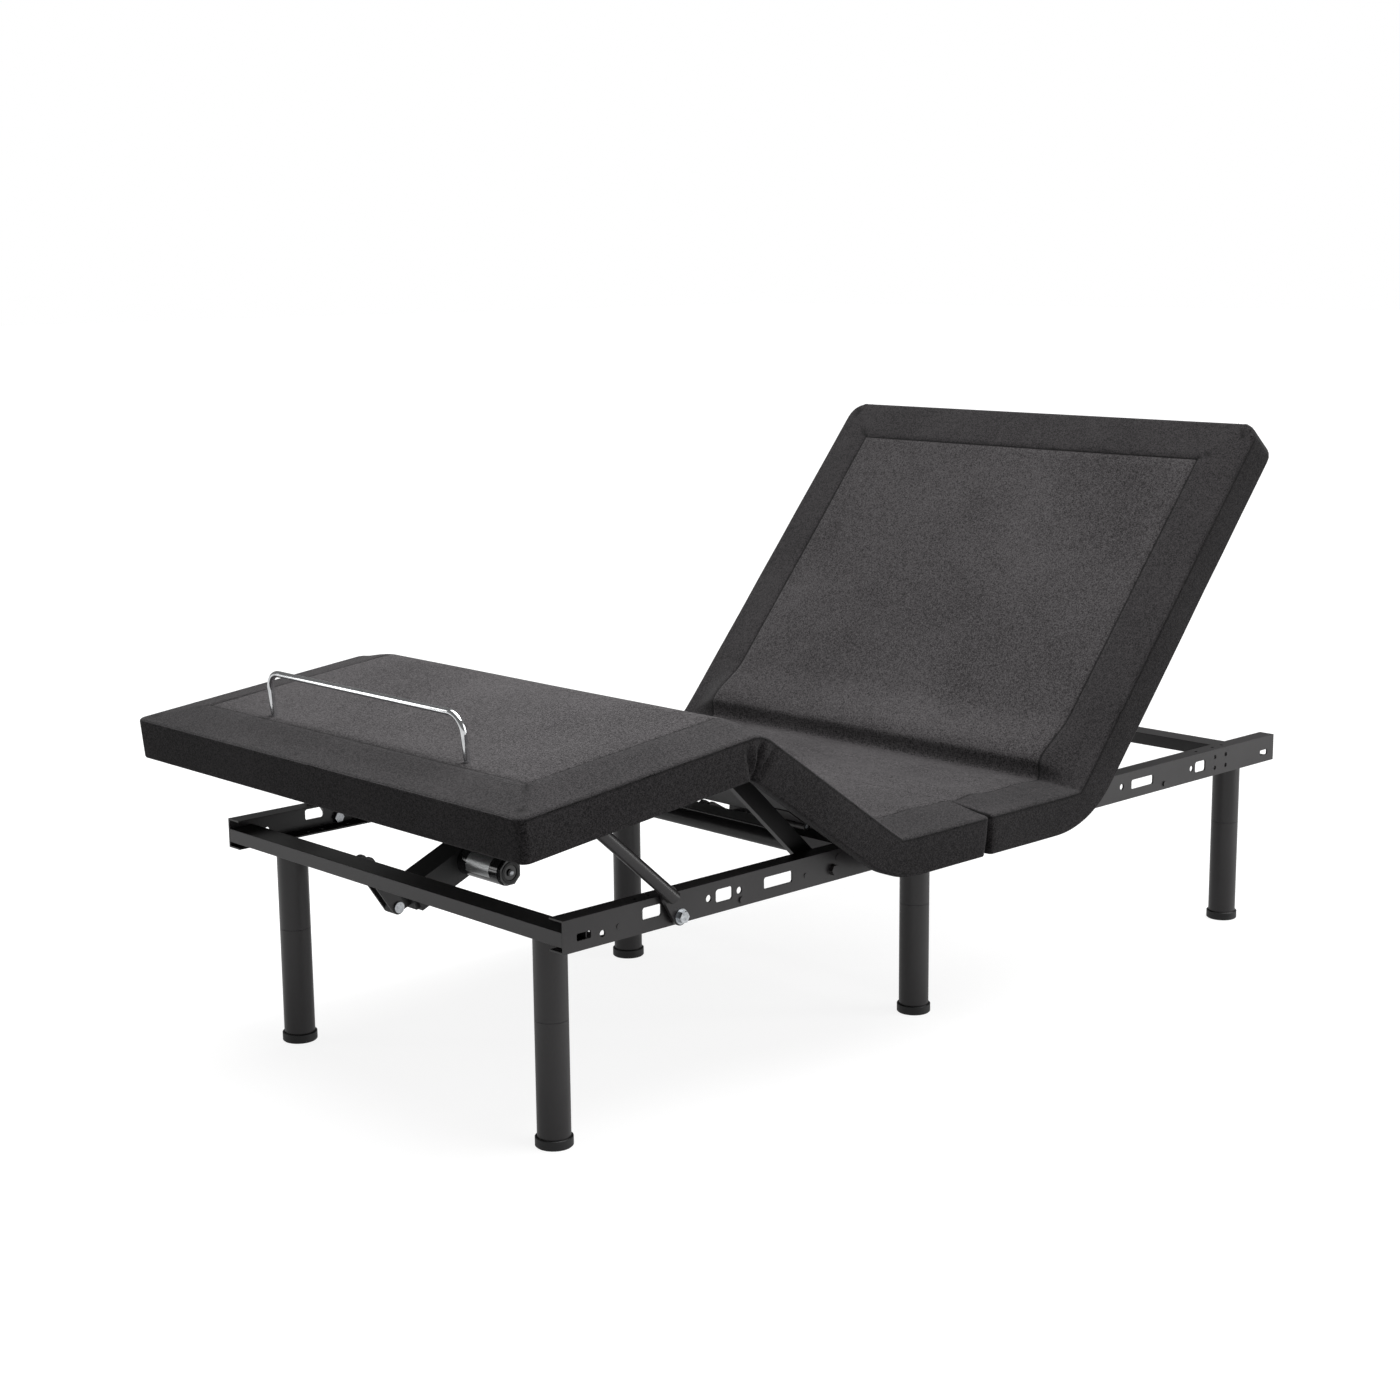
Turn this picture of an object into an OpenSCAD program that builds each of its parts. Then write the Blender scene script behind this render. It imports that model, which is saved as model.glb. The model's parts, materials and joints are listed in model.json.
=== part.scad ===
// Adjustable bed base: a steel frame on six legs carries a five-panel upholstered deck.
// The calf, thigh and back panels fold, driven by two linear actuators through lift frames.
// X runs from the foot to the head, Y across the bed, Z up. The origin is on the floor,
// under the middle of the base's box with the panels raised as drawn.

/* [Frame] */
// Length of the side rails
rail_len = 1738; // [1700:1:1760]
// Width over the side rails
frame_w = 842; // [836:1:844]
// Height of the side rail section
rail_h = 48; // [46:1:50]
// Height of the side rails' top above the floor
rail_top = 365; // [365:1:400]
// Outer diameter of the leg tubes
leg_d = 50; // [44:1:54]
// Height of the joint between the two halves of a leg
leg_joint = 190; // [120:1:220]

/* [Deck] */
// Width of the deck over its upholstery
deck_w = 965; // [965:1:970]
// Length of the calf panel, from the knee hinge
calf_len = 445; // [430:1:460]
// Length of the thigh panel, hinge to hinge
thigh_len = 368; // [366:1:370]
// Length of the fixed seat ahead of the slit
front_seat_len = 212; // [205:1:220]
// Length of the fixed seat behind the slit
rear_seat_len = 239; // [230:1:245]
// Length of the back panel, from its hinge
back_len = 767; // [740:1:780]
// Thickness of the boards
board_t = 10; // [8:1:10]
// Thickness of the padding on the boards
pad_t = 6; // [4:1:8]
// Height of the upholstered edge
edge_h = 70; // [64:1:72]
// Thickness of the upholstered edge
edge_t = 25; // [18:1:25]

/* [Pose] */
// Angle of the back panel as drawn
back_angle = 49.5; // [49:0.1:50]
// Angle of the thigh panel as drawn
thigh_angle = 35; // [34.5:0.1:35.5]
// Downward slope of the calf panel as drawn
calf_slope = 6.2; // [6:0.1:6.5]

/* [Hidden] */
$fn = 40;
// Thigh, knee and back hinge lines
hinge_z = rail_top - 3;
thigh_x = 624;
slit_x = thigh_x + front_seat_len;
back_x = slit_x + rear_seat_len;
knee_x = thigh_x - thigh_len * cos(thigh_angle);
knee_z = hinge_z + thigh_len * sin(thigh_angle);
// Heights above a panel's hinge line
board_z = 4;
pad_z = board_z + board_t;
top_z = pad_z + pad_t;
edge_z = top_z - edge_h;
edge_y = deck_w / 2 - edge_t;
gap = 0.5;
// Half gaps that let neighbouring panels fold
fold_gap = 9;
back_gap = 13;
knee_bevel = 26;
// The base's box in X, which sets the origin
foot_end_x = knee_x - calf_len * cos(calf_slope) - top_z * sin(calf_slope);
origin_x = (foot_end_x + rail_len) / 2;

// Side rail section
web_t = 3;
flange_t = 2.5;
flange_w = 30;
rail_y = frame_w / 2;
rail_bottom = rail_top - rail_h;
rail_mid = rail_top - rail_h / 2;
web_y = rail_y - web_t;
// Cross rails, which sit between the webs
cross_w = 45;
cross_h = 22;
cross_z = rail_mid - 15;
cross_wall = 2;
foot_cross_x = 0;
mid_cross_x = 617;
head_cross_x = 1587;
head_cross_z = rail_top - flange_t - cross_h;
// Legs
leg_wall = 2;
cap_r = leg_d / 2 + 3.2;
cap_h = 15;
cap_floor = 3;
leg_plate_t = 4;
leg_plate_z = rail_bottom + flange_t;
LEGS = [[56, -324], [56, 324], [872, -292], [745, 288], [1709, -339], [1709, 339]];

// Calf struts
strut_x = 210;
strut_z = 331;
strut_len = 249.4;
strut_angle = 44.7;
strut_y = 435;
strut_r = 10;
strut_knee = [-38.8, 10.8];
calf_pin_x = 295.3;
calf_pin_z = 35;
pin_r = 5;
// Leg lift frame
leg_lift_x = 536;
leg_lift_z = 335;
leg_lift_angle = 43.95;
leg_lift_len = 309;
leg_roller_r = 18;
leg_horn = [-95, 7];
leg_tube = [-50, 5];
leg_lug_y = 125;
// Head lift frame
head_lift_x = 1200;
head_lift_z = 342;
head_lift_angle = 64.76;
head_lift_len = 300;
head_roller_r = 22;
head_horn_r = 80;
head_horn_angle = 35.24;
// Lift arms
arm_y = 374;
arm_t = 12;
arm_r = 14;
tube_r = 13;
lug_in = 8;
lug_t = 5;
run_fit = 0.05;
// Foot actuator: rear pin, angle and extension as drawn
foot_act = [110, 255];
foot_act_angle = 22.612;
foot_act_ext = 390.4;
foot_gear_len = 175;
foot_tube_end = 290;
foot_rod_len = 150;
foot_motor_x = 140;
foot_eye_r = 11.5;
// Head actuator
head_act = [720, 310];
head_act_angle = -3.599;
head_act_ext = 525.89;
head_gear_len = 130;
head_tube_end = 395;
head_rod_len = 290;
head_motor_x = 90;
head_eye_r = 15.2;
rod_r = 10;
act_tube_r = 18;
motor_r = 22.5;
motor_len = 110;
gear_w = 26;

STEEL = "#2b2a2b";
BLACK = "#1b1b1c";
FABRIC = "#39373a";
WOOD = "#b9925e";
ZINC = "#b4b6b8";
NYLON = "#1e1e1f";

// ---- Helpers ----

// Moves a shape from the rail's foot end to the part's own origin
module place() translate([-origin_x, 0, 0]) children();

// Frames of the moving panels, with X along the deck and Z = 0 on the hinge line
module on_thigh() place() translate([thigh_x, 0, hinge_z]) rotate([0, thigh_angle, 0]) children();
module on_calf() place() translate([knee_x, 0, knee_z]) rotate([0, -calf_slope, 0]) children();
module on_back() place() translate([back_x, 0, hinge_z]) rotate([0, -back_angle, 0]) children();
// Frames of the linkage, with X along each arm
module on_leg_lift() place() translate([leg_lift_x, 0, leg_lift_z]) rotate([0, leg_lift_angle, 0]) children();
module on_head_lift() place() translate([head_lift_x, 0, head_lift_z])
    rotate([0, -head_lift_angle, 0]) children();
module on_strut() place() translate([strut_x, 0, strut_z]) rotate([0, strut_angle, 0]) children();
module on_foot_act() place() translate([foot_act[0], leg_lug_y, foot_act[1]])
    rotate([0, -foot_act_angle, 0]) children();
module on_head_act() place() translate([head_act[0], 0, head_act[1]])
    rotate([0, -head_act_angle, 0]) children();

// A box given by its two corners
module box(a, b) translate(a) cube(b - a);
// A flat outline in X and Z, thickened from y0 to y1
module slab(y0, y1) translate([0, y1, 0]) rotate([90, 0, 0]) linear_extrude(y1 - y0) children();
// A cylinder along Y from y0 to y1
module rod_y(x, z, y0, y1, r, sides = 40) translate([x, y0, z]) rotate([-90, 0, 0])
    cylinder(r = r, h = y1 - y0, $fn = sides);
// A cylinder along X from x0 to x1
module rod_x(x0, x1, r) translate([x0, 0, 0]) rotate([0, 90, 0]) cylinder(r = r, h = x1 - x0);
// A straight bar outline with round ends, a hair wider than its sides so that the arcs cross them
module bar_outline(a, b, r) {
    d = b - a;
    side = r - 0.06;
    translate(a) circle(r);
    translate(b) circle(r);
    translate(a) rotate(atan2(d[1], d[0])) translate([0, -side]) square([norm(d), 2 * side]);
}
// A rectangular window with rounded corners, whose arcs stand a hair outside its sides
module window_outline(x, z, w, h, r = 4) translate([x, z]) {
    inset = 0.06;
    square([w - 2 * inset, h - 2 * r], center = true);
    square([w - 2 * r, h - 2 * inset], center = true);
    for (i = [-1, 1], j = [-1, 1]) translate([i * (w / 2 - r), j * (h / 2 - r)]) circle(r);
}
// Draws a left-hand shape, at negative Y, and its mirror image
module both_sides() {
    children();
    mirror([0, 1, 0]) children();
}

// ---- Frame ----

module rail_windows() {
    window_outline(37, rail_mid - 4, 26, 11, 2.5);
    translate([71, rail_mid - 8]) circle(5);
    window_outline(164, rail_mid + 4, 36, 18);
    translate([strut_x, strut_z]) circle(pin_r + 0.4);
    translate([275, rail_mid + 1]) circle(5.5);
    window_outline(306, rail_mid + 1, 34, 20, 5);
    translate([337, rail_mid + 1]) circle(5.5);
    window_outline(418, rail_mid + 1, 60, 18);
    translate([leg_lift_x, leg_lift_z]) circle(pin_r + 0.4);
    translate([head_lift_x, head_lift_z]) circle(pin_r + 0.4);
    translate([1267, rail_mid + 1]) circle(5.5);
    window_outline(1327, rail_mid, 64, 17);
    translate([1475, rail_mid]) circle(5.5);
    window_outline(1502, rail_mid, 32, 20, 5);
    for (x = [1548, 1582], z = [-10, 10]) translate([x, rail_mid + z]) circle(4);
    window_outline(1706, rail_mid - 6, 24, 10, 2.5);
}

// C-channel, open towards the middle of the bed, with windows in its web
module side_rail() {
    difference() {
        box([0, -rail_y, rail_bottom], [rail_len, -rail_y + flange_w, rail_top]);
        box([-1, -web_y, rail_bottom + flange_t], [rail_len + 1, -rail_y + flange_w + 1, rail_top - flange_t]);
        slab(-rail_y - 1, -web_y + 1) rail_windows();
        for (x = [143, 170, 222, 1509, 1560, 1589])
            translate([x, -rail_y + flange_w / 2, rail_bottom - 5]) cylinder(r = 3, h = rail_h + 10);
    }
}
module left_side_rail() color(STEEL) place() side_rail();
module right_side_rail() color(STEEL) place() mirror([0, 1, 0]) side_rail();

// Box tube between the rail webs
module cross_rail(x, z) {
    difference() {
        box([x, -web_y, z], [x + cross_w, web_y, z + cross_h]);
        box([x + cross_wall, -web_y - 1, z + cross_wall],
            [x + cross_w - cross_wall, web_y + 1, z + cross_h - cross_wall]);
    }
}
module foot_cross_rail() color(STEEL) place() cross_rail(foot_cross_x, cross_z);
module mid_cross_rail() color(STEEL) place() cross_rail(mid_cross_x, cross_z);
module head_cross_rail() color(STEEL) place() cross_rail(head_cross_x, head_cross_z);

// Black rivets in the rail webs: two with tall heads and three nearly flush
module rail_rivets() color(STEEL) place() both_sides() {
    for (x = [341, 1393]) rod_y(x, rail_bottom + 10, -rail_y - 2.5, -rail_y, 5);
    for (x = [101, 477]) rod_y(x, rail_mid - 4, -rail_y - 1, -rail_y, 4);
    rod_y(548, rail_mid + 11, -rail_y - 1, -rail_y, 5.5);
}

// ---- Legs ----

// Plate that rests on the rail's lower flange and takes a leg
module leg_mount_plates() color(STEEL) place() for (leg = LEGS) {
    side = sign(leg[1]);
    reach = web_y - 1 - abs(leg[1]);
    difference() {
        translate([leg[0] - 29, leg[1] + (side > 0 ? -38 : -reach), leg_plate_z])
            cube([58, 38 + reach, leg_plate_t]);
        translate([leg[0], leg[1], leg_plate_z - 1]) cylinder(r = 6.3, h = leg_plate_t + 2);
    }
}
// Threaded studs: one through each plate with its nut, and one in each leg joint
module leg_studs() color(ZINC) place() for (leg = LEGS) translate([leg[0], leg[1], 0]) {
    translate([0, 0, leg_plate_z - 14]) cylinder(r = 6, h = 14 + leg_plate_t + 6);
    translate([0, 0, leg_plate_z + leg_plate_t]) cylinder(r = 9.4, h = 5.5, $fn = 6);
    translate([0, 0, leg_joint - 12]) cylinder(r = 6, h = 24);
}
module upper_leg_tubes() color(STEEL) place() for (leg = LEGS) translate([leg[0], leg[1], 0]) difference() {
    translate([0, 0, leg_joint + 0.5]) cylinder(r = leg_d / 2, h = leg_plate_z - leg_joint - 0.5);
    translate([0, 0, leg_joint + 5]) cylinder(r = leg_d / 2 - leg_wall, h = leg_plate_z - leg_joint - 10);
    translate([0, 0, leg_joint - 1]) cylinder(r = 6.3, h = leg_plate_z);
}
module lower_leg_tubes() color(STEEL) place() for (leg = LEGS) translate([leg[0], leg[1], 0]) difference() {
    translate([0, 0, cap_floor]) cylinder(r = leg_d / 2, h = leg_joint - cap_floor);
    translate([0, 0, 0]) cylinder(r = leg_d / 2 - leg_wall, h = leg_joint - 5);
    translate([0, 0, leg_joint - 10]) cylinder(r = 6.3, h = 20);
}
module leg_foot_caps() color(BLACK) place() for (leg = LEGS) translate([leg[0], leg[1], 0]) difference() {
    rotate_extrude() polygon([[0, 0], [cap_r - 1.5, 0], [cap_r, 1.5], [cap_r, cap_h - 1],
        [cap_r - 1, cap_h], [0, cap_h]]);
    translate([0, 0, cap_floor]) cylinder(r = leg_d / 2 + 0.1, h = cap_h);
}

// ---- Panels ----

// One board, from x0 to x1
module board(x0, x1, low = board_z) box([x0, -edge_y + gap, low], [x1, edge_y - gap, pad_z]);
// The pad on a board, and its side edges with ends that may slope
module padding(x0, x1, bevel0 = 0, bevel1 = 0) {
    box([x0, -deck_w / 2, pad_z], [x1, deck_w / 2, top_z]);
    both_sides() slab(-deck_w / 2, -edge_y)
        polygon([[x0, pad_z], [x0 + bevel0, edge_z], [x1 - bevel1, edge_z], [x1, pad_z]]);
}
// The edge across the end of a panel
module end_edge(x0, x1) box([x0, -edge_y, edge_z], [x1, edge_y, pad_z]);

module front_seat_board() color(WOOD) place() translate([0, 0, hinge_z])
    board(thigh_x + fold_gap, slit_x - 2, 3);
module front_seat_padding() color(FABRIC) place() translate([0, 0, hinge_z])
    padding(thigh_x + fold_gap, slit_x - 1.5);
module rear_seat_board() color(WOOD) place() translate([0, 0, hinge_z])
    board(slit_x + 2, back_x - back_gap, 3);
module rear_seat_padding() color(FABRIC) place() translate([0, 0, hinge_z])
    padding(slit_x + 1.5, back_x - back_gap);
// Bolts that hold the seat boards to the side rails' top flanges
module seat_board_bolts() color(ZINC) place() both_sides() for (x = [700, 790, 890, 1000]) {
    translate([x, -rail_y + flange_w / 2, rail_top - flange_t - 4]) cylinder(r = 6, h = 4, $fn = 6);
}

module thigh_board() color(WOOD) on_thigh() board(-thigh_len + fold_gap, -fold_gap);
module thigh_padding() color(FABRIC) on_thigh() padding(-thigh_len + fold_gap, -fold_gap, knee_bevel, 0);
module calf_board() color(WOOD) on_calf() difference() {
    board(-calf_len + edge_t + gap, -fold_gap);
    bar_holes(6.5);
}
module calf_padding() color(FABRIC) on_calf() {
    difference() {
        padding(-calf_len, -fold_gap, 0, knee_bevel);
        bar_holes(6.5);
    }
    end_edge(-calf_len, -calf_len + edge_t);
}
module back_board() color(WOOD) on_back() board(back_gap, back_len - edge_t - gap);
module back_padding() color(FABRIC) on_back() {
    padding(back_gap, back_len);
    end_edge(back_len - edge_t, back_len);
}

// ---- Hinges ----

hinge_ys = [-250, 60, 250];
barrel_r = 6;
hinge_pin_r = 3;
knuckle = 20;

// The leaf on the +X side of a hinge, with the middle knuckle, or on the -X side with the outer two
module leaf(side, low) {
    knuckles = side > 0 ? [0] : [-1, 1];
    for (y = hinge_ys) translate([0, y, 0]) difference() {
        union() {
            for (k = knuckles) {
                translate([0, k * (knuckle + 0.5), 0]) {
                    rod_y(0, 0, -knuckle / 2, knuckle / 2, barrel_r);
                    box([min(0, side * 10), -knuckle / 2, low - 2], [max(0, side * 10), knuckle / 2, low]);
                }
            }
            box([side > 0 ? 8 : -50, -30, low - 2], [side > 0 ? 50 : -8, 30, low]);
        }
        rod_y(0, 0, -50, 50, hinge_pin_r + run_fit);
    }
}
module hinge_pins() for (y = hinge_ys) rod_y(0, 0, y - 31, y + 31, hinge_pin_r);

module seat_hinge_leaves() color(STEEL) place() {
    translate([thigh_x, 0, hinge_z]) leaf(1, 3);
    translate([back_x, 0, hinge_z]) leaf(-1, 3);
}
module seat_hinge_pins() color(ZINC) place() {
    translate([thigh_x, 0, hinge_z]) hinge_pins();
    translate([back_x, 0, hinge_z]) hinge_pins();
}
module thigh_hinge_leaves() color(STEEL) on_thigh() {
    leaf(-1, board_z);
    translate([-thigh_len, 0, 0]) leaf(1, board_z);
}
module knee_hinge_pins() color(ZINC) on_thigh() translate([-thigh_len, 0, 0]) hinge_pins();
module calf_hinge_leaves() color(STEEL) on_calf() leaf(-1, board_z);
module back_hinge_leaves() color(STEEL) on_back() leaf(1, board_z);

// ---- Calf panel fittings ----

bar_x = -340;
bar_y = 242;
bar_r = 5;
bar_rise = 76;
bar_bend = 28;

// Holes for the two feet of the retainer bar
module bar_holes(r) for (y = [-bar_y, bar_y]) translate([bar_x, y, -1]) cylinder(r = r, h = 40);
// Round bar bent to a wide U, which keeps the mattress from sliding
module mattress_retainer_bar() color("#c9cbcc") on_calf() {
    both_sides() {
        translate([bar_x, -bar_y, 6]) cylinder(r = bar_r, h = top_z + bar_rise - bar_bend - 6);
        translate([bar_x, -bar_y + bar_bend, top_z + bar_rise - bar_bend])
            rotate([90, 0, -90]) rotate_extrude(angle = 90) translate([bar_bend, 0]) circle(bar_r);
    }
    rod_y(bar_x, top_z + bar_rise, -bar_y + bar_bend, bar_y - bar_bend, bar_r);
}
// Moulded sockets that line the holes
module retainer_bar_sockets() color(BLACK) on_calf() for (y = [-bar_y, bar_y]) translate([bar_x, y, 0])
    difference() {
        union() {
            translate([0, 0, board_z - 3]) cylinder(r = 12, h = 3);
            translate([0, 0, board_z]) cylinder(r = 6.4, h = top_z - board_z);
            translate([0, 0, top_z + 0.1]) cylinder(r = 13, h = 3);
            translate([0, 0, top_z - 0.1]) cylinder(r = 6.4, h = 0.3);
        }
        translate([0, 0, -10]) cylinder(r = bar_r + 0.2, h = 60);
    }
// Hanging plates that carry the struts' upper pins
module strut_brackets() color(STEEL) on_calf() both_sides() {
    slab(-451, -447) bar_outline([-calf_pin_x, -calf_pin_z], [-calf_pin_x, board_z - 12], 12);
    box([-calf_pin_x - 30, -451, board_z - 3], [-calf_pin_x + 30, -424, board_z]);
    rod_y(-calf_pin_x, -calf_pin_z, -455, -424.5, pin_r);
    rod_y(-calf_pin_x, -calf_pin_z, -455, -451, 8, 6);
    rod_y(-calf_pin_x, -calf_pin_z, -427.5, -425.5, 10.5);
}
// Vibration motors in round housings under the calf and back boards
module massage_motor() {
    translate([0, 0, board_z - 5]) cylinder(r = 62, h = 5);
    translate([0, 0, board_z - 34]) cylinder(r = 44, h = 29);
}
module foot_massage_motor() color(BLACK) on_calf() translate([-136, 0, 0]) massage_motor();
module head_massage_motor() color(BLACK) on_back() translate([400, 0, 0]) massage_motor();
// Wear strips that the lift rollers run on
module calf_roller_tracks() color(NYLON) on_calf() both_sides() box([-60, -376, 0.5], [-12, -346, board_z]);
module back_roller_tracks() color(NYLON) on_back() both_sides() box([300, -376, 0.5], [455, -346, board_z]);

// ---- Calf struts ----

// Tube with a flattened eye at each end. The lower eye turns down from the tube, and the upper eye
// has play on its pin.
module strut() {
    tube_start = -strut_len + 24;
    tube_tilt = atan2(strut_knee[1], strut_knee[0] - tube_start);
    difference() {
        union() {
            slab(-431, -425) bar_outline([0, 0], strut_knee, 13.5);
            slab(-439, -431) bar_outline([-strut_len, 0], [-strut_len + 22, 0], 14);
            translate([tube_start, -strut_y, 0]) rotate([0, -tube_tilt, 0])
                rod_x(0, strut_knee[0] - tube_start + 6, strut_r);
        }
        rod_y(0, 0, -500, -400, pin_r + run_fit);
        rod_y(-strut_len, 0, -500, -400, pin_r + 3.2);
    }
}
module left_calf_strut() color(STEEL) on_strut() strut();
module right_calf_strut() color(STEEL) on_strut() mirror([0, 1, 0]) strut();
// Hex bolt with washers and nut, through the rail web
module strut_bolts() color(ZINC) place() both_sides() translate([strut_x, 0, strut_z]) {
    rod_y(0, 0, -434, -411, pin_r);
    rod_y(0, 0, -440, -433, 9.2, 6);
    rod_y(0, 0, -433, -431.2, 11.5);
    rod_y(0, 0, -424.8, -rail_y, 10);
    rod_y(0, 0, -web_y, -411, 9.2, 6);
}

// ---- Lift frames ----

// Shoulder bolts that carry the lift arms
module lift_pivot_bolts() color(BLACK) place() both_sides()
    for (p = [[leg_lift_x, leg_lift_z], [head_lift_x, head_lift_z]]) translate([p[0], 0, p[1]]) {
        rod_y(0, 0, -rail_y - 1, -arm_y, pin_r);
        rod_y(0, 0, -rail_y - 7, -rail_y, 8.5, 6);
        rod_y(0, 0, -web_y, -arm_y - arm_t - 0.5, 9);
    }
// A lift arm along X, its bore and its roller axle
module lift_arm(len, dir) {
    difference() {
        slab(-arm_y - arm_t, -arm_y) bar_outline([0, 0], [dir * len, 0], arm_r);
        rod_y(0, 0, -500, -300, pin_r + run_fit);
    }
    rod_y(dir * len, 0, -arm_y, -346, pin_r);
    rod_y(dir * len, 0, -348, -345, 8);
}
// A roller with its bore
module roller(x, r) difference() {
    rod_y(x, 0, -372, -348.5, r);
    rod_y(x, 0, -380, -340, pin_r + run_fit);
}
// Two lugs from the torque tube to the horn pin
module horn(from, to, y) for (s = [-1, 1]) difference() {
    slab(y + min(s * lug_in, s * (lug_in + lug_t)), y + max(s * lug_in, s * (lug_in + lug_t)))
        bar_outline(from, to, 11);
    rod_y(to[0], to[1], y - 50, y + 50, pin_r + 0.1);
}
module horn_pin(p, y) {
    rod_y(p[0], p[1], y - 17, y + 17, pin_r);
    for (s = [-1, 1]) rod_y(p[0], p[1], y + (s > 0 ? 13.2 : -17), y + (s > 0 ? 17 : -13.2), 8);
}

// Leg lift: the horn is given with the arms level, so it is turned with them
leg_flat = -0.83;
module leg_lift_arms() color(STEEL) on_leg_lift() both_sides() lift_arm(leg_lift_len, -1);
module leg_lift_torque_tube() color(STEEL) on_leg_lift() rotate([0, leg_flat, 0]) {
    rod_y(leg_tube[0], leg_tube[1], -arm_y, arm_y, tube_r);
    horn(leg_tube, leg_horn, leg_lug_y);
}
module leg_lift_rollers() color(NYLON) on_leg_lift() both_sides() roller(-leg_lift_len, leg_roller_r);
module foot_horn_pin() color(ZINC) on_leg_lift() rotate([0, leg_flat, 0]) horn_pin(leg_horn, leg_lug_y);

// Head lift: the horn hangs from a torque tube on the pivot line
head_horn = head_horn_r * [sin(head_horn_angle), -cos(head_horn_angle)];
module head_lift_arms() color(STEEL) on_head_lift() both_sides() lift_arm(head_lift_len, 1);
module head_lift_torque_tube() color(STEEL) place() translate([head_lift_x, 0, head_lift_z]) {
    rod_y(0, 0, -arm_y, arm_y, tube_r);
    horn([0, 0], head_horn, 0);
}
module head_lift_rollers() color(NYLON) on_head_lift() both_sides() roller(head_lift_len, head_roller_r);
module head_horn_pin() color(ZINC) place() translate([head_lift_x, 0, head_lift_z]) horn_pin(head_horn, 0);

// ---- Actuators ----

act_pin_r = 6;
tongue_t = 16;
cheek_t = 4;

// Two cheeks from a cross rail to an actuator's rear pin
module cheeks(from, to, y) for (s = [-1, 1]) difference() {
    slab(y + (s > 0 ? 8.5 : -12.5), y + (s > 0 ? 12.5 : -8.5)) bar_outline(from, to, 12);
    rod_y(to[0], to[1], y - 50, y + 50, act_pin_r + 0.2);
}
module actuator_brackets() color(STEEL) place() {
    cheeks([foot_cross_x + cross_w + 12, cross_z + 8], foot_act, leg_lug_y);
    cheeks([mid_cross_x + cross_w + 12, cross_z + 11], head_act, 0);
}
module act_pin() {
    rod_y(0, 0, -16, 16, act_pin_r);
    rod_y(0, 0, -16, -12.7, 9);
    rod_y(0, 0, 12.7, 16, 9);
}
module actuator_rear_pins() color(ZINC) place() {
    translate([foot_act[0], leg_lug_y, foot_act[1]]) act_pin();
    translate([head_act[0], 0, head_act[1]]) act_pin();
}
// Gearbox with its rear tongue, drawn from the rear pin along X
module gearbox(len) {
    difference() {
        union() {
            slab(-tongue_t / 2, tongue_t / 2) bar_outline([0, 0], [30, 0], 12);
            box([24, -gear_w + 6, -20], [len, gear_w - 6, 20]);
            box([30, -gear_w, -24], [len - 12, gear_w, 24]);
        }
        rod_y(0, 0, -20, 20, act_pin_r + run_fit);
    }
}
// Motor can across the actuator, with an eight-sided end cap
module motor(x) {
    rod_y(x, 0, -gear_w - motor_len + 10, -gear_w, motor_r);
    rod_y(x, 0, -gear_w - motor_len + 3, -gear_w - motor_len + 10, motor_r - 1, 8);
    rod_y(x, 0, -gear_w - motor_len, -gear_w - motor_len + 3, 6);
}
module act_tube(x0, x1) difference() {
    union() {
        rod_x(x0, x1, act_tube_r);
        rod_x(x1 - 16, x1, act_tube_r + 2);
    }
    rod_x(x0 + 5, x1 + 1, rod_r + run_fit);
}
// Rod with a flat tongue, whose eye is wide enough for the push pin's play
module act_rod(ext, len, eye_r) difference() {
    union() {
        rod_x(ext - len, ext - eye_r - 3, rod_r);
        slab(-6, 6) bar_outline([ext - 10, 0], [ext, 0], eye_r + 4.3);
    }
    rod_y(ext, 0, -10, 10, eye_r);
}
module foot_actuator_gearbox() color(BLACK) on_foot_act() gearbox(foot_gear_len);
module foot_actuator_motor() color(BLACK) on_foot_act() motor(foot_motor_x);
module foot_actuator_tube() color(STEEL) on_foot_act() act_tube(foot_gear_len, foot_tube_end);
module foot_actuator_rod() color(ZINC) on_foot_act() act_rod(foot_act_ext, foot_rod_len, foot_eye_r);
module head_actuator_gearbox() color(BLACK) on_head_act() gearbox(head_gear_len);
module head_actuator_motor() color(BLACK) on_head_act() motor(head_motor_x);
module head_actuator_tube() color(STEEL) on_head_act() act_tube(head_gear_len, head_tube_end);
module head_actuator_rod() color(ZINC) on_head_act() act_rod(head_act_ext, head_rod_len, head_eye_r);

// ---- Electrics ----

module control_box() color(BLACK) place() difference() {
    box([690, -290, rail_top - 42], [810, -170, rail_top]);
    for (k = [0 : 3]) box([680, -282 + k * 28, rail_top - 26], [696, -266 + k * 28, rail_top - 14]);
}
// Power supply with a two-pole mains inlet in its end face
module power_supply() color(BLACK) place() difference() {
    box([880, 180, rail_top - 52], [1020, 250, rail_top]);
    box([1008, 202, rail_top - 38], [1030, 228, rail_top - 20]);
}
module under_bed_light() color("#e8e6dc") place()
    box([mid_cross_x + 12, -150, cross_z - 9], [mid_cross_x + 32, -40, cross_z]);

left_side_rail();
right_side_rail();
foot_cross_rail();
mid_cross_rail();
head_cross_rail();
rail_rivets();
leg_mount_plates();
leg_studs();
upper_leg_tubes();
lower_leg_tubes();
leg_foot_caps();
front_seat_board();
front_seat_padding();
rear_seat_board();
rear_seat_padding();
seat_board_bolts();
seat_hinge_leaves();
seat_hinge_pins();
thigh_board();
thigh_padding();
thigh_hinge_leaves();
knee_hinge_pins();
calf_board();
calf_padding();
calf_hinge_leaves();
strut_brackets();
foot_massage_motor();
mattress_retainer_bar();
retainer_bar_sockets();
back_board();
back_padding();
back_hinge_leaves();
head_massage_motor();
calf_roller_tracks();
back_roller_tracks();
left_calf_strut();
right_calf_strut();
strut_bolts();
lift_pivot_bolts();
leg_lift_arms();
leg_lift_torque_tube();
leg_lift_rollers();
head_lift_arms();
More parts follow.
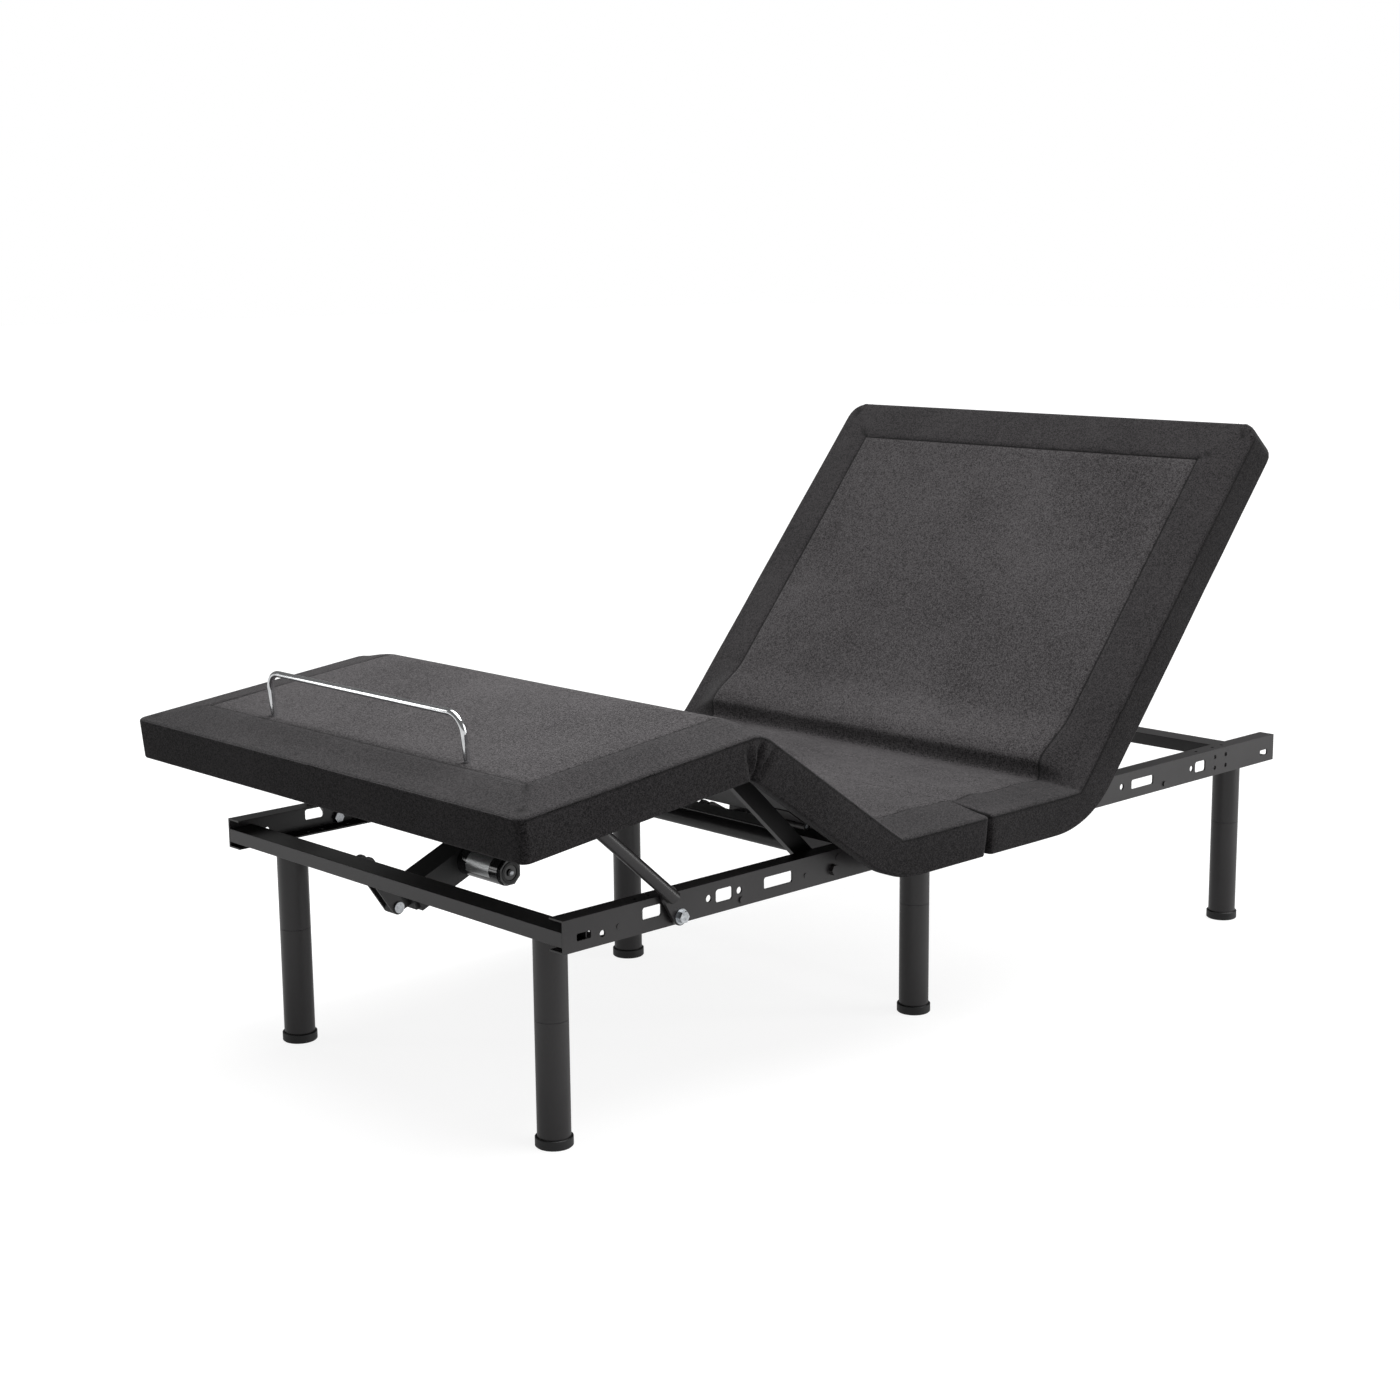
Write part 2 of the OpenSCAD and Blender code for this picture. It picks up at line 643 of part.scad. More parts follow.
head_lift_torque_tube();
head_lift_rollers();
actuator_brackets();
actuator_rear_pins();
foot_actuator_gearbox();
foot_actuator_motor();
foot_actuator_tube();
foot_actuator_rod();
foot_horn_pin();
head_actuator_gearbox();
head_actuator_motor();
head_actuator_tube();
head_actuator_rod();
head_horn_pin();
control_box();
power_supply();
under_bed_light();
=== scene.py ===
# %% [markdown]
# An adjustable bed base: a black steel frame on six legs carries five hinged panels under two
# upholstered covers. The frame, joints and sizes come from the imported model. This lesson gives
# every part its finish, rounds the edges of the rails, adds the small fittings of the motors and
# builds the soft covers.

# %% Load the frame
import json
import math

import bmesh
import bpy
from mathutils import Matrix, Vector, noise


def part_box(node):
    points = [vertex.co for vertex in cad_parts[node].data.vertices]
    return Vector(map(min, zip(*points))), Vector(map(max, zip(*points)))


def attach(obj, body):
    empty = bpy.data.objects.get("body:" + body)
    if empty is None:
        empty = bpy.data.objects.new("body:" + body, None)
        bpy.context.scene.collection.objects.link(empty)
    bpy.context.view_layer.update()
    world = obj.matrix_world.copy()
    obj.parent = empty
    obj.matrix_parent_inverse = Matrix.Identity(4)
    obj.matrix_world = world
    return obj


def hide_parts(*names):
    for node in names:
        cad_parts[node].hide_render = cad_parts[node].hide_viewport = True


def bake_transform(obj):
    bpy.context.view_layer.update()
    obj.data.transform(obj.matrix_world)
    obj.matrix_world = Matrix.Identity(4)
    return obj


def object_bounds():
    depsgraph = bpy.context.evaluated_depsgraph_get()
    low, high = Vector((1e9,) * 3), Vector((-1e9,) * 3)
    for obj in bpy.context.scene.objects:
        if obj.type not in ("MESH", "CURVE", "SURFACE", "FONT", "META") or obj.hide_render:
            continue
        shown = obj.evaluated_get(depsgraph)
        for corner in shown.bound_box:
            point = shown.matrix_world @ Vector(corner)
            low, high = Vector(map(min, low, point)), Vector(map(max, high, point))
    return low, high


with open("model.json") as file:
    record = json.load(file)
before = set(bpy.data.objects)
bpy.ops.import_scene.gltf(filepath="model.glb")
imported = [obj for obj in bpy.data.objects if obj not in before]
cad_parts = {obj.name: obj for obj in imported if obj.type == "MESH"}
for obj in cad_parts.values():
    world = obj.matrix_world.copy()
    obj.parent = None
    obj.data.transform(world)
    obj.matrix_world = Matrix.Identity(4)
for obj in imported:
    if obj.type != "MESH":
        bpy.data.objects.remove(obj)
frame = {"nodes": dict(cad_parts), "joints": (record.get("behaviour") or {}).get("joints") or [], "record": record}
cad_lo, cad_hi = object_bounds()
MM = 0.001
TINY = 1e-6
joint = {j["name"]: j for j in frame["joints"]}
nodes = frame["nodes"]
print("the base measures", [round(v, 3) for v in cad_hi - cad_lo])

# %% [markdown]
# The camera comes first, because every look is judged through it. It stands low at the foot end,
# on the sleeper's left, about 4 m from the middle of the bed. Its place is given from the point
# on the floor that lies below the foot end of the rails, half way between them.

# %% Camera
FRAME_SIDE = 1400
FOCAL_LENGTH = 2305.6  # in the same units as the frame's side
SENSOR_MM = 36
FROM_FOOT_END_MM = Vector((-1943.1, -2753.3, 1255.9))
YAW, PITCH, ROLL = 0.7572, 0.1907, -0.0097
foot_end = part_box("left_side_rail")[0].x
camera_data = bpy.data.cameras.new("camera")
camera_data.sensor_width = SENSOR_MM
camera_data.lens = FOCAL_LENGTH / FRAME_SIDE * SENSOR_MM
camera = bpy.data.objects.new("camera", camera_data)
bpy.context.scene.collection.objects.link(camera)
camera.location = Vector((foot_end, 0, 0)) + FROM_FOOT_END_MM * MM
level = math.cos(PITCH)
look = Vector((math.sin(YAW) * level, math.cos(YAW) * level, -math.sin(PITCH)))
turn = look.to_track_quat("-Z", "Y").to_matrix() @ Matrix.Rotation(ROLL, 3, "Z")
camera.rotation_mode = "QUATERNION"
camera.rotation_quaternion = turn.to_quaternion()
bpy.context.scene.camera = camera
print("camera at", [round(v, 3) for v in camera.location], "lens", round(camera_data.lens, 1))

# %% [markdown]
# A white studio. A large soft box hangs over the foot end, so that the calf panel is brightest and
# the seat and the back, which are further from it, are darker. A wide lamp overhead, a sun with a
# very wide disc, fills the rest evenly, and a weaker one fills the near side. The sky is white
# only where it is seen directly, and dim as a light, because a white sky would wash out the steel.

# %% Studio lights
def srgb(code):
    """An sRGB hex colour as linear values with an alpha of 1, which shaders work in."""
    channels = [int(code[i:i + 2], 16) / 255 for i in (1, 3, 5)]
    return [c / 12.92 if c <= 0.04045 else ((c + 0.055) / 1.055) ** 2.4 for c in channels] + [1.0]


def soft_sun(name, towards, disc_degrees, strength):
    """A sun lamp that shines from the direction towards, with a wide soft disc."""
    data = bpy.data.lights.new(name, "SUN")
    data.angle = math.radians(disc_degrees)
    data.energy = strength
    lamp = bpy.data.objects.new(name, data)
    bpy.context.scene.collection.objects.link(lamp)
    lamp.rotation_euler = Vector(towards).to_track_quat("Z", "Y").to_euler()


soft_sun("ceiling_light", (0.20, -0.12, 1.0), 60, 3.6)
soft_sun("near_side_light", (0.60, -1.0, 0.35), 40, 0.7)
bpy.context.scene.view_settings.view_transform = "Standard"


def soft_box(name, place, aim, size, watts):
    """A soft box, a flat glowing rectangle, at a place and aimed at a point."""
    data = bpy.data.lights.new(name, "AREA")
    data.shape = "RECTANGLE"
    data.size, data.size_y = size
    data.energy = watts
    lamp = bpy.data.objects.new(name, data)
    bpy.context.scene.collection.objects.link(lamp)
    lamp.location = place
    lamp.rotation_euler = (Vector(aim) - Vector(place)).to_track_quat("-Z", "Y").to_euler()
    lamp.visible_camera = False


soft_box("overhead_soft_box", (-0.38, 0, 1.9), (-0.38, 0, 0), (0.9, 1.2), 40)
soft_box("right_soft_box", (2.6, -2.6, 1.1), (0, 0, 0.5), (0.6, 2.2), 26)
soft_box("left_soft_box", (-2.4, 2.2, 1.0), (0, 0, 0.3), (0.3, 2.0), 6)

# %% [markdown]
# A Light Path node tells whether the sky is seen directly by the camera or reached as light.

# %% Sky
SKY_AS_LIGHT, SKY_SEEN = 0.16, 1.0
world = bpy.data.worlds.new("studio")
bpy.context.scene.world = world
world.use_nodes = True
sky = world.node_tree
seen = sky.nodes.new("ShaderNodeLightPath")
strength = sky.nodes.new("ShaderNodeMapRange")
strength.inputs["To Min"].default_value = SKY_AS_LIGHT
strength.inputs["To Max"].default_value = SKY_SEEN
sky.links.new(seen.outputs["Is Camera Ray"], strength.inputs["Value"])
sky.links.new(strength.outputs["Result"], sky.nodes["Background"].inputs["Strength"])
sky.nodes["Background"].inputs["Color"].default_value = srgb("#ffffff")

# %% [markdown]
# Finishes are built from a few nodes each. One helper adds a node, sets it and links it, so that
# each material reads as a short list of what the real surface does to light.

# %% Material helpers
def add(tree, kind, links=(), **settings):
    """Adds one node. links maps an input to a socket, and settings are inputs or properties."""
    made = tree.nodes.new(kind)
    for key, value in settings.items():
        if hasattr(made, key):
            setattr(made, key, value)
        else:
            made.inputs[key.replace("_", " ")].default_value = value
    for name, socket in dict(links).items():
        tree.links.new(socket, made.inputs[name])
    return made


def shader(name, **constants):
    """A new material and its main shader, with the finish's constants set on its own sockets."""
    material = bpy.data.materials.new(name)
    material.use_nodes = True
    principled = material.node_tree.nodes["Principled BSDF"]
    for key, value in constants.items():
        principled.inputs[key.replace("_", " ")].default_value = value
    return material, material.node_tree, principled


def ramp_between(tree, factor, dark, light, low=0.0, high=1.0):
    """A colour that runs from dark to light as factor goes from low to high."""
    ramp = add(tree, "ShaderNodeValToRGB", {"Fac": factor})
    ramp.color_ramp.elements[0].position = low
    ramp.color_ramp.elements[0].color = srgb(dark)
    ramp.color_ramp.elements[1].position = high
    ramp.color_ramp.elements[1].color = srgb(light)
    return ramp


# %% [markdown]
# The floor is a studio's light table: a sheet of matt opal acrylic with lamps under it, far larger
# than the bed, so that its edge never shows. A real one glows the same every way. Here its glow is
# bright where the camera sees it, which keeps the shadows pale, and dimmer as a light, so that the
# black undersides stay black.

# %% Studio floor
FLOOR_AS_LIGHT, FLOOR_SEEN = 0.40, 0.88
FLOOR_HALF_SIDE = 40
acrylic, tree, main = shader("opal_acrylic_lit_from_below", Roughness=0.9)
main.inputs["Emission Color"].default_value = srgb("#ffffff")
place = add(tree, "ShaderNodeTexCoord").outputs["Object"]
fibre = add(tree, "ShaderNodeTexNoise", {"Vector": place}, Scale=6.0, Detail=3.0)
tone = ramp_between(tree, fibre.outputs["Fac"], "#7a7a7a", "#7e7e7e")
tree.links.new(tone.outputs["Color"], main.inputs["Base Color"])
seen = add(tree, "ShaderNodeLightPath").outputs["Is Camera Ray"]
glow = add(tree, "ShaderNodeMapRange", {"Value": seen}, To_Min=FLOOR_AS_LIGHT, To_Max=FLOOR_SEEN)
tree.links.new(glow.outputs["Result"], main.inputs["Emission Strength"])
shape = bmesh.new()
bmesh.ops.create_grid(shape, x_segments=1, y_segments=1, size=FLOOR_HALF_SIDE)
floor_mesh = bpy.data.meshes.new("floor")
shape.to_mesh(floor_mesh)
shape.free()
floor_mesh.materials.append(acrylic)
floor = bpy.data.objects.new("floor", floor_mesh)
bpy.context.scene.collection.objects.link(floor)
print("the floor spans", sorted({round(v.co.x) for v in floor_mesh.vertices}), "m")

# %% [markdown]
# Powder-coated steel: black polyester powder, baked on, so the skin is thick, satin and slightly
# dimpled like an orange's peel. The peel is drawn at 2.5 mm, a little coarser than the real one,
# so that it shows. Fine dust and handling change the gloss from place to place.

# %% Metal finishes
PEEL = 2.5 * MM


def powder_coat(name, dark, light, roughness):
    """Baked powder, cloudy in tone and gloss, with a dimpled skin."""
    material, tree, main = shader(name, Roughness=roughness, IOR=1.5)
    place = add(tree, "ShaderNodeTexCoord").outputs["Object"]
    cloud = add(tree, "ShaderNodeTexNoise", {"Vector": place}, Scale=9.0, Detail=4.0)
    tone = ramp_between(tree, cloud.outputs["Fac"], dark, light, 0.3, 0.7)
    tree.links.new(tone.outputs["Color"], main.inputs["Base Color"])
    gloss = add(tree, "ShaderNodeMapRange", {"Value": cloud.outputs["Fac"]},
                To_Min=roughness - 0.06, To_Max=roughness + 0.08)
    tree.links.new(gloss.outputs["Result"], main.inputs["Roughness"])
    peel = add(tree, "ShaderNodeTexNoise", {"Vector": place}, Scale=1 / PEEL, Detail=2.0)
    bump = add(tree, "ShaderNodeBump", {"Height": peel.outputs["Fac"]}, Strength=0.12,
               Distance=0.2 * MM)
    tree.links.new(bump.outputs["Normal"], main.inputs["Normal"])
    return material


def bare_metal(name, dark, light, roughness, grain_mm, bump_strength):
    """A plated metal whose crystals or brush marks vary its tone and gloss."""
    material, tree, main = shader(name, Metallic=1.0, Roughness=roughness)
    place = add(tree, "ShaderNodeTexCoord").outputs["Object"]
    grain = add(tree, "ShaderNodeTexNoise", {"Vector": place}, Scale=1 / (grain_mm * MM),
                Detail=4.0)
    tone = ramp_between(tree, grain.outputs["Fac"], dark, light, 0.3, 0.7)
    tree.links.new(tone.outputs["Color"], main.inputs["Base Color"])
    gloss = add(tree, "ShaderNodeMapRange", {"Value": grain.outputs["Fac"]}, To_Min=roughness * 0.7,
                To_Max=roughness * 1.4)
    tree.links.new(gloss.outputs["Result"], main.inputs["Roughness"])
    bump = add(tree, "ShaderNodeBump", {"Height": grain.outputs["Fac"]}, Strength=bump_strength,
               Distance=0.1 * MM)
    tree.links.new(bump.outputs["Normal"], main.inputs["Normal"])
    return material


steel = powder_coat("steel_black_powder_coat", "#211f20", "#2a2829", 0.32)
# painted shade: a darker copy of the same powder coat, for the lift frames under the deck
lift_steel_painted_shade = powder_coat("steel_black_powder_coat_painted_shade", "#121112", "#1a191a", 0.36)
zinc = bare_metal("steel_zinc_plated", "#9ea1a5", "#cfd2d5", 0.30, 3.0, 0.15)
chrome = bare_metal("steel_chrome_plated", "#d6d8da", "#f2f3f4", 0.10, 12.0, 0.02)
foil = bare_metal("label_foil_blank", "#b5b7b8", "#d3d5d5", 0.35, 1.5, 0.05)
print("metal finishes:", [m.name for m in (steel, lift_steel_painted_shade, zinc, chrome, foil)])

# %% [markdown]
# Moulded parts: the foot caps and housings are black ABS or nylon with a spark-eroded grain, which
# breaks up the highlight. The rollers and their tracks are black nylon. The motor cans are
# painted, so they are glossier than the plastics beside them.

# %% Plastic finishes
def moulded(name, dark, light, roughness, grain_mm, coat=0.0):
    """A moulded or painted part, with a grain of a real size and an optional clear coat."""
    material, tree, main = shader(name, Roughness=roughness, IOR=1.49, Coat_Weight=coat)
    place = add(tree, "ShaderNodeTexCoord").outputs["Object"]
    cloud = add(tree, "ShaderNodeTexNoise", {"Vector": place}, Scale=14.0, Detail=3.0)
    tone = ramp_between(tree, cloud.outputs["Fac"], dark, light, 0.3, 0.7)
    tree.links.new(tone.outputs["Color"], main.inputs["Base Color"])
    grain = add(tree, "ShaderNodeTexVoronoi", {"Vector": place}, Scale=1 / (grain_mm * MM))
    bump = add(tree, "ShaderNodeBump", {"Height": grain.outputs["Distance"]}, Strength=0.15,
               Distance=0.1 * MM)
    tree.links.new(bump.outputs["Normal"], main.inputs["Normal"])
    return material


plastic = moulded("abs_moulded_fine_grain", "#0d0d0e", "#161617", 0.46, 1.2)
motor_paint = moulded("motor_can_gloss_enamel", "#0a0a0b", "#111112", 0.22, 4.0, coat=0.5)
nylon = moulded("nylon_moulded_black", "#161616", "#202021", 0.48, 1.5)
lens = moulded("polycarbonate_moulded_frosted", "#dcdad2", "#e9e8e2", 0.60, 1.0)
print("plastic finishes:", [m.name for m in (plastic, motor_paint, nylon, lens)])

# %% [markdown]
# The boards' undersides are faced with black spunbond, a non-woven fabric that is calendered
# through a roll of small points. The points stand 3 mm apart and give it a faint dimpled sheen.

# %% Spunbond facing
POINT_SPACING = 3.0 * MM
FIBRE_CLOUD = 8.0 * MM
spunbond, tree, main = shader("spunbond_calendered_black", Roughness=0.88, Sheen_Weight=0.2)
place = add(tree, "ShaderNodeTexCoord").outputs["Object"]
points = add(tree, "ShaderNodeTexVoronoi", {"Vector": place}, Scale=1 / POINT_SPACING,
             Randomness=0.15)
fibres = add(tree, "ShaderNodeTexNoise", {"Vector": place}, Scale=1 / FIBRE_CLOUD, Detail=6.0)
tone = ramp_between(tree, fibres.outputs["Fac"], "#121112", "#201f20", 0.3, 0.7)
tree.links.new(tone.outputs["Color"], main.inputs["Base Color"])
bump = add(tree, "ShaderNodeBump", {"Height": points.outputs["Distance"]}, Strength=0.3,
           Distance=0.3 * MM)
tree.links.new(bump.outputs["Normal"], main.inputs["Normal"])
print("facing:", spunbond.name)

# %% [markdown]
# The cover is sewn from charcoal polyester. Each thread is a twist of black and grey fibres, which
# gives the cloth its fine speckle. The centre is a plain weave that catches more light, and the
# border and skirts are a closer, darker cloth of the same yarn. Real threads lie about 0.6 mm
# apart, too fine to show, so the weave is drawn at 2.7 and 2.5 mm. The pattern follows the cloth
# through its UV map, whose unit is a metre of flat fabric. An attribute paints shade into the
# cloth along the seam grooves, in a line under the top edge of each side, and on the slit's lip.

# %% Woven fabrics
SEAM_SHADOW = "#3c3a3b"


def woven(name, dark, light, thread_mm, depth):
    """A cloth whose crossed threads, mixed fibres and dark flecks are sized by its thread."""
    material, tree, main = shader(name, Roughness=0.95, Sheen_Weight=0.05, Sheen_Roughness=0.5,
                                  Specular_IOR_Level=0.12)
    thread = thread_mm * MM
    wave_spacing = math.pi / 10  # how far apart the wave texture's bands lie at a scale of 1
    flat = add(tree, "ShaderNodeUVMap", uv_map="flat_cloth").outputs["UV"]
    threads = []
    for axis in ("X", "Y"):
        threads.append(add(tree, "ShaderNodeTexWave", {"Vector": flat}, bands_direction=axis,
                           Scale=wave_spacing / thread, Distortion=1.2, Detail=1.0,
                           Detail_Scale=2.0))
    weave = add(tree, "ShaderNodeMath",
                {0: threads[0].outputs["Fac"], 1: threads[1].outputs["Fac"]}, operation="MULTIPLY")
    melange = add(tree, "ShaderNodeTexNoise", {"Vector": flat}, Scale=1 / (0.8 * thread),
                  Detail=2.0, Roughness=0.6)
    nap = add(tree, "ShaderNodeTexNoise", {"Vector": flat}, Scale=4.0, Detail=4.0)
    cloth = add(tree, "ShaderNodeMix", {"A": melange.outputs["Fac"], "B": weave.outputs["Value"]},
                Factor=0.3)
    soft = add(tree, "ShaderNodeMix", {"A": cloth.outputs["Result"], "B": nap.outputs["Fac"]},
               Factor=0.4)
    fleck = add(tree, "ShaderNodeTexVoronoi", {"Vector": flat}, Scale=1 / (0.62 * thread))
    shade = add(tree, "ShaderNodeMix", {"A": soft.outputs["Result"], "B": fleck.outputs["Color"]},
                Factor=0.42)
    tone = ramp_between(tree, shade.outputs["Result"], dark, light, 0.33, 0.62)
    # painted shade: where the attribute is set, the cloth's colour is multiplied towards SEAM_SHADOW
    painted_shade = add(tree, "ShaderNodeAttribute", attribute_name="painted_shade").outputs["Fac"]
    stitched = add(tree, "ShaderNodeMix", {"Factor": painted_shade}, data_type="RGBA",
                   blend_type="MULTIPLY")
    tree.links.new(tone.outputs["Color"], stitched.inputs["A"])
    stitched.inputs["B"].default_value = srgb(SEAM_SHADOW)
    tree.links.new(stitched.outputs["Result"], main.inputs["Base Color"])
    bump = add(tree, "ShaderNodeBump", {"Height": cloth.outputs["Result"]}, Strength=depth,
               Distance=1.2 * MM)
    tree.links.new(bump.outputs["Normal"], main.inputs["Normal"])
    return material


centre_cloth = woven("polyester_plain_weave_charcoal", "#151314", "#3f3d3e", 2.7, 0.4)
border_cloth = woven("polyester_close_weave_black", "#0e0d0e", "#302e2f", 2.5, 0.4)
print("fabrics:", centre_cloth.name, border_cloth.name)

# %% [markdown]
# Every CAD node takes the finish of the real piece. The record's slots say which finish each one
# has. The lift frames, deep under the deck, get a darker copy of the same steel, which is painted
# shade for the deck's shadow.

# %% Finishes on the CAD nodes
finish_of_slot = {
    "powder_coated_steel": steel,
    "zinc_plated_steel": zinc,
    "retainer_chrome": chrome,
    "black_plastic": plastic,
    "motor_can": motor_paint,
    "charcoal_fabric": border_cloth,
    "panel_board": spunbond,
    "nylon": nylon,
    "light_lens": lens,
}
for row in frame["record"]["subparts"]:
    node = nodes[row["node"]]
    node.data.materials.clear()
    node.data.materials.append(finish_of_slot[row["material_slot"]])
# painted shade: the lift frames under the deck take the darker copy of the steel
for name in ("leg_lift_arms", "leg_lift_torque_tube", "head_lift_arms", "head_lift_torque_tube"):
    nodes[name].data.materials[0] = lift_steel_painted_shade
print("finishes set on", len(nodes), "nodes")

# %% [markdown]
# The rails are folded from sheet and coated, so their edges are rounded and catch a line of light.
# A CAD node is loose triangles and is left alone, so each rail is shown by a merged copy with a
# live bevel.

# %% Folded edges on the rails
RAIL_EDGE_RADIUS = 0.8 * MM
SHARP = math.radians(35)


def smooth_but_sharp_edges(shape):
    """Shades a shape smoothly, apart from open edges and those that turn more than SHARP."""
    for face in shape.faces:
        face.smooth = True
    for edge in shape.edges:
        edge.smooth = len(edge.link_faces) == 2 and edge.calc_face_angle() < SHARP


def folded_rail(name):
    """A copy of a rail with rounded edges, which stands for it."""
    shape = bmesh.new()
    shape.from_mesh(nodes[name].data)
    bmesh.ops.remove_doubles(shape, verts=shape.verts, dist=0.02 * MM)
    smooth_but_sharp_edges(shape)
    mesh = bpy.data.meshes.new(name + "_folded")
    shape.to_mesh(mesh)
    shape.free()
    mesh.materials.append(steel)
    rail = bpy.data.objects.new(name + "_folded", mesh)
    bpy.context.scene.collection.objects.link(rail)
    bevel = rail.modifiers.new("bevel", "BEVEL")
    bevel.width = RAIL_EDGE_RADIUS
    bevel.segments = 2
    bevel.limit_method = "ANGLE"
    bevel.angle_limit = math.radians(50)
    bevel.harden_normals = True
    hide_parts(name)
    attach(rail, "frame")


for name in ("left_side_rail", "right_side_rail", "foot_cross_rail", "mid_cross_rail",
             "head_cross_rail"):
    folded_rail(name)
    print("rounded the edges of", name)

# %% [markdown]
# Each motor can carries a foil label, left blank here, and its end bell has a raised ring and a
# bright screw in its hub. The label and the ring are short profiles spun about the can's axis,
# which lies across the bed. The screw is a short cylinder with a bevelled rim and a sunk middle.

# %% Fitting helpers
def fitting(name, shape, finish, body):
    """Turns a finished shape into a piece that rides on a body."""
    bmesh.ops.recalc_face_normals(shape, faces=shape.faces)
    smooth_but_sharp_edges(shape)
    mesh = bpy.data.meshes.new(name)
    shape.to_mesh(mesh)
    shape.free()
    mesh.materials.append(finish)
    piece = bpy.data.objects.new(name, mesh)
    bpy.context.scene.collection.objects.link(piece)
    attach(piece, body)
    print("made", name, "with", len(mesh.polygons), "faces")


def spun(profile, centre, degrees, steps_round, start_degrees=0.0):
    """Spins a line of (radius, y) points about the crosswise axis through centre."""
    shape = bmesh.new()
    a = math.radians(start_degrees)
    verts = [shape.verts.new((centre.x + r * math.cos(a), y, centre.z + r * math.sin(a)))
             for r, y in profile]
    edges = [shape.edges.new(pair) for pair in zip(verts, verts[1:])]
    bmesh.ops.spin(shape, geom=verts + edges, cent=centre, axis=(0, 1, 0),
                   angle=math.radians(degrees), steps=steps_round, use_merge=degrees == 360,
                   use_normal_flip=False)
    return shape


# %% Motor fittings
LABEL_FROM, LABEL_TO = 30 * MM, 88 * MM  # along the can, from its end bell
LABEL_GAP, LABEL_THICK = 0.05 * MM, 0.15 * MM
LABEL_START, LABEL_TURN = 205, 120  # degrees round the can
BELL_DEPTH = 3.2 * MM
RING_PROUD = 1.6 * MM
SCREW_RADIUS, SCREW_HEIGHT = 4.2 * MM, 1.6 * MM


def motor_screw():
    """A round-headed screw on the Z axis, with a sunk middle."""
    screw = bmesh.new()
    bmesh.ops.create_cone(screw, cap_ends=True, segments=32, radius1=SCREW_RADIUS,
                          radius2=SCREW_RADIUS, depth=SCREW_HEIGHT)
    top_ring = [e for e in screw.edges if all(v.co.z > 0 for v in e.verts)]
    bmesh.ops.bevel(screw, geom=top_ring, offset=0.7 * MM, segments=3, profile=0.5,
                    affect="EDGES", material=-1)
    cap = max(screw.faces, key=lambda f: f.calc_center_median().z)
    bmesh.ops.inset_individual(screw, faces=[cap], thickness=1.3 * MM)
    bmesh.ops.translate(screw, verts=cap.verts[:], vec=(0, 0, -0.7 * MM))
    return screw


for end in ("foot", "head"):
    lo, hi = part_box(end + "_actuator_motor")
    centre = (lo + hi) / 2
    can = (hi.x - lo.x) / 2
    skin = can + LABEL_GAP
    label = spun([(skin, lo.y + LABEL_FROM), (skin, lo.y + LABEL_TO)], centre, LABEL_TURN, 24,
                 LABEL_START)
    bmesh.ops.solidify(label, geom=label.faces[:], thickness=-LABEL_THICK)
    fitting(end + "_motor_label", label, foil, end + "_actuator")
    face = lo.y + BELL_DEPTH
    ring = spun([(can * 0.52, face), (can * 0.56, face - RING_PROUD),
                 (can * 0.74, face - RING_PROUD), (can * 0.80, face), (can * 0.52, face)],
                centre, 360, 48)
    bmesh.ops.remove_doubles(ring, verts=ring.verts, dist=TINY)
    fitting(end + "_motor_end_ring", ring, plastic, end + "_actuator")
    screw = motor_screw()
    bmesh.ops.rotate(screw, verts=screw.verts, cent=(0, 0, 0),
                     matrix=Matrix.Rotation(math.pi / 2, 3, "X"))
    bmesh.ops.translate(screw, verts=screw.verts, vec=(centre.x, lo.y - 0.6 * MM, centre.z))
    fitting(end + "_motor_screw", screw, zinc, end + "_actuator")

# %% [markdown]
# The covers are cut flat and bent to the raised pose. Here `s` runs along the flat deck, and `h`
# is the height over the hinge line. `bend` folds the flat deck at each hinge. The top and the hem
# of a skirt fold differently, one crushed and one stretched, and the cloth between them is ruled
# with straight lines, as a real skirt is.

# %% The flat deck and its folds
thigh_pin = Vector(joint["thigh_hinge"]["pos_m"])
knee_pin = Vector(joint["knee_hinge"]["pos_m"])
back_pin = Vector(joint["back_hinge"]["pos_m"])
thigh_turn = math.radians(-joint["thigh_hinge"]["range_deg"][0])
back_turn = math.radians(-joint["back_hinge"]["range_deg"][0])
ratio = {c["joint"]: c["ratio"] for c in frame["record"]["behaviour"]["couplings"]}
knee_turn = ratio["knee_hinge"] * thigh_turn
slope = -(thigh_turn + knee_turn)
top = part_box("front_seat_padding")[1].z - thigh_pin.z
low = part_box("front_seat_padding")[0].z - thigh_pin.z
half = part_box("back_padding")[1].y
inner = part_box("back_board")[1].y
board_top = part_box("front_seat_board")[1].z - thigh_pin.z
s_thigh = thigh_pin.x
s_knee = s_thigh - (thigh_pin - knee_pin).length
s_back = back_pin.x
s_foot = s_knee - (knee_pin.x - cad_lo.x - top * math.sin(slope)) / math.cos(slope)
s_head = s_back + (cad_hi.z - back_pin.z - top * math.cos(back_turn)) / math.sin(back_turn)
s_slit = [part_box("front_seat_padding")[1].x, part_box("rear_seat_padding")[0].x]
s_mid_thigh = (s_knee + s_thigh) / 2
FOLDS = {
    "knee": {"pin": s_knee, "turn": knee_turn, "inner": 60 * MM, "outer": 24 * MM},
    "thigh": {"pin": s_thigh, "turn": thigh_turn, "inner": 40 * MM, "outer": 58 * MM},
    "back": {"pin": s_back, "turn": back_turn, "inner": 40 * MM, "outer": 90 * MM},
}


def ease(t):
    """A smooth step from 0 to 1."""
    t = min(max(t, 0.0), 1.0)
    return t * t * (3 - 2 * t)


def turned(s, h, s_pin, angle):
    """A point (s, h) turned about a pin at s_pin by angle, which raises the side towards -X."""
    c, n = math.cos(angle), math.sin(angle)
    return Vector((s_pin + (s - s_pin) * c + h * n, h * c - (s - s_pin) * n))


